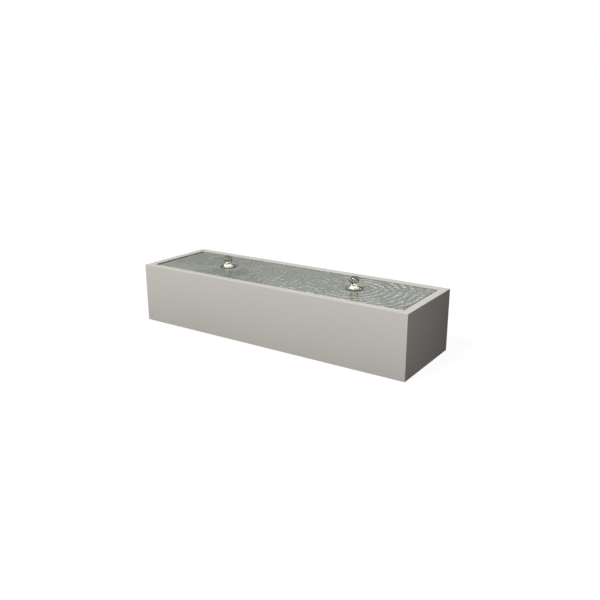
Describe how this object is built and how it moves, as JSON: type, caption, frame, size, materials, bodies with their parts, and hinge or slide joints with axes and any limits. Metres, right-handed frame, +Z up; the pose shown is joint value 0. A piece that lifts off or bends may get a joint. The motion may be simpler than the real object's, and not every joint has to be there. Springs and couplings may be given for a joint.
{
  "type": "garden water table fountain",
  "caption": "Long low rectangular water table with a flat rim, brim-full lift-out tray, lit bubbling jets, an overflow slot at one end and submerged pumps in a reservoir below.",
  "frame": {"origin": "centre of the underside, on the ground", "axes": "+X along the length towards the overflow slot, +Y to the back where the supply cable comes in, +Z up"},
  "size_m": [2, 0.6, 0.475],
  "materials": {
    "casing_coat": "satin powder coat, warm light grey",
    "tray_coat": "satin powder coat, grey, wet",
    "tub_coat": "matt powder coat, dark grey",
    "galvanised": "galvanised steel",
    "fastener": "bright zinc",
    "rubber": "matt black rubber",
    "edge_trim": "matt grey-green rubber",
    "lead_sheath": "black rubber sheath",
    "housing_plastic": "moulded dark grey",
    "fitting_plastic": "moulded grey",
    "knob_plastic": "moulded orange",
    "rotor_plastic": "moulded cream",
    "ceramic": "polished ceramic",
    "brass": "plain brass",
    "nozzle_steel": "brushed stainless steel",
    "lamp_housing": "dark green-grey anodised",
    "lamp_lens": "clear toughened glass",
    "lamp_leds": "warm white lamps",
    "pool_water": "rippled water",
    "jet_water": "aerated water"
  },
  "bodies": {
    "casing": {"casing": "casing_coat", "rim_ribs": "casing_coat", "base_frame": "galvanised", "foot_nuts": "fastener", "reservoir_tub": "tub_coat", "tray_brackets": "tub_coat", "tray_pads": "rubber", "drain_bush": "brass", "junction_box": "housing_plastic", "junction_lid": "fitting_plastic", "junction_screws": "fastener", "cable_gland": "fitting_plastic", "entry_grommet": "rubber", "supply_leads": "lead_sheath", "lamp_sockets": "housing_plastic", "pump_housing_left": "housing_plastic", "pump_housing_right": "housing_plastic", "pump_volute_left": "fitting_plastic", "pump_volute_right": "fitting_plastic", "outlet_pipe_left": "fitting_plastic", "outlet_pipe_right": "fitting_plastic", "pump_feet": "rubber", "impeller_shafts": "ceramic"},
    "drain_plug": {"drain_plug": "brass"},
    "tray": {"tray": "tray_coat", "tray_seal": "rubber", "weir_trim": "edge_trim", "slot_screen": "galvanised", "bulkheads": "fitting_plastic", "bulkhead_gaskets": "rubber", "bulkhead_nuts": "fitting_plastic", "lamp_ring_left": "lamp_housing", "lamp_ring_right": "lamp_housing", "lamp_lenses": "lamp_lens", "lamp_leds": "lamp_leds", "lamp_leads": "lead_sheath", "lamp_plugs": "housing_plastic"},
    "water": {"water_pool": "pool_water"},
    "impeller_left": {"impeller_left": "rotor_plastic"},
    "flow_knob_left": {"flow_knob_left": "knob_plastic"},
    "strainer_left": {"strainer_left": "housing_plastic"},
    "riser_left": {"riser_left": "fitting_plastic", "lock_ring_left": "housing_plastic"},
    "nozzle_left": {"nozzle_left": "nozzle_steel", "water_jet_left": "jet_water"},
    "impeller_right": {"impeller_right": "rotor_plastic"},
    "flow_knob_right": {"flow_knob_right": "knob_plastic"},
    "strainer_right": {"strainer_right": "housing_plastic"},
    "riser_right": {"riser_right": "fitting_plastic", "lock_ring_right": "housing_plastic"},
    "nozzle_right": {"nozzle_right": "nozzle_steel", "water_jet_right": "jet_water"},
    "foot_1": {"foot_stem_1": "fastener", "foot_pad_1": "rubber"},
    "foot_2": {"foot_stem_2": "fastener", "foot_pad_2": "rubber"},
    "foot_3": {"foot_stem_3": "fastener", "foot_pad_3": "rubber"},
    "foot_4": {"foot_stem_4": "fastener", "foot_pad_4": "rubber"}
  },
  "joints": [
    {"name": "tray_lift", "type": "slide", "parent": "casing", "child": "tray", "axis": [0, 0, 1], "range_m": [0, 0.25]},
    {"name": "water_level", "type": "slide", "parent": "tray", "child": "water", "axis": [0, 0, 1], "range_m": [-0.035, 0]},
    {"name": "drain_pull", "type": "slide", "parent": "casing", "child": "drain_plug", "axis": [0, 0, 1], "range_m": [0, 0.05]},
    {"name": "riser_height_left", "type": "slide", "parent": "tray", "child": "riser_left", "axis": [0, 0, 1], "range_m": [-0.003, 0.012]},
    {"name": "nozzle_tilt_left", "type": "hinge", "parent": "riser_left", "child": "nozzle_left", "pos_m": [-0.5, 0, 0.366], "axis": [0, 1, 0], "range_deg": [-7, 7]},
    {"name": "impeller_spin_left", "type": "hinge", "parent": "casing", "child": "impeller_left", "pos_m": [-0.5, 0, 0.125], "axis": [1, 0, 0], "continuous": true},
    {"name": "flow_turn_left", "type": "hinge", "parent": "casing", "child": "flow_knob_left", "pos_m": [-0.5, 0, 0.205], "axis": [0, 1, 0], "range_deg": [0, 90]},
    {"name": "strainer_pull_left", "type": "slide", "parent": "casing", "child": "strainer_left", "axis": [-1, 0, 0], "range_m": [0, 0.06]},
    {"name": "riser_height_right", "type": "slide", "parent": "tray", "child": "riser_right", "axis": [0, 0, 1], "range_m": [-0.003, 0.012]},
    {"name": "nozzle_tilt_right", "type": "hinge", "parent": "riser_right", "child": "nozzle_right", "pos_m": [0.5, 0, 0.366], "axis": [0, 1, 0], "range_deg": [-7, 7]},
    {"name": "impeller_spin_right", "type": "hinge", "parent": "casing", "child": "impeller_right", "pos_m": [0.5, 0, 0.125], "axis": [1, 0, 0], "continuous": true},
    {"name": "flow_turn_right", "type": "hinge", "parent": "casing", "child": "flow_knob_right", "pos_m": [0.5, 0, 0.205], "axis": [0, 1, 0], "range_deg": [0, 90]},
    {"name": "strainer_pull_right", "type": "slide", "parent": "casing", "child": "strainer_right", "axis": [1, 0, 0], "range_m": [0, 0.06]},
    {"name": "foot_screw_1", "type": "slide", "parent": "casing", "child": "foot_1", "axis": [0, 0, -1], "range_m": [0, 0.012]},
    {"name": "foot_screw_2", "type": "slide", "parent": "casing", "child": "foot_2", "axis": [0, 0, -1], "range_m": [0, 0.012]},
    {"name": "foot_screw_3", "type": "slide", "parent": "casing", "child": "foot_3", "axis": [0, 0, -1], "range_m": [0, 0.012]},
    {"name": "foot_screw_4", "type": "slide", "parent": "casing", "child": "foot_4", "axis": [0, 0, -1], "range_m": [0, 0.012]}
  ]
}
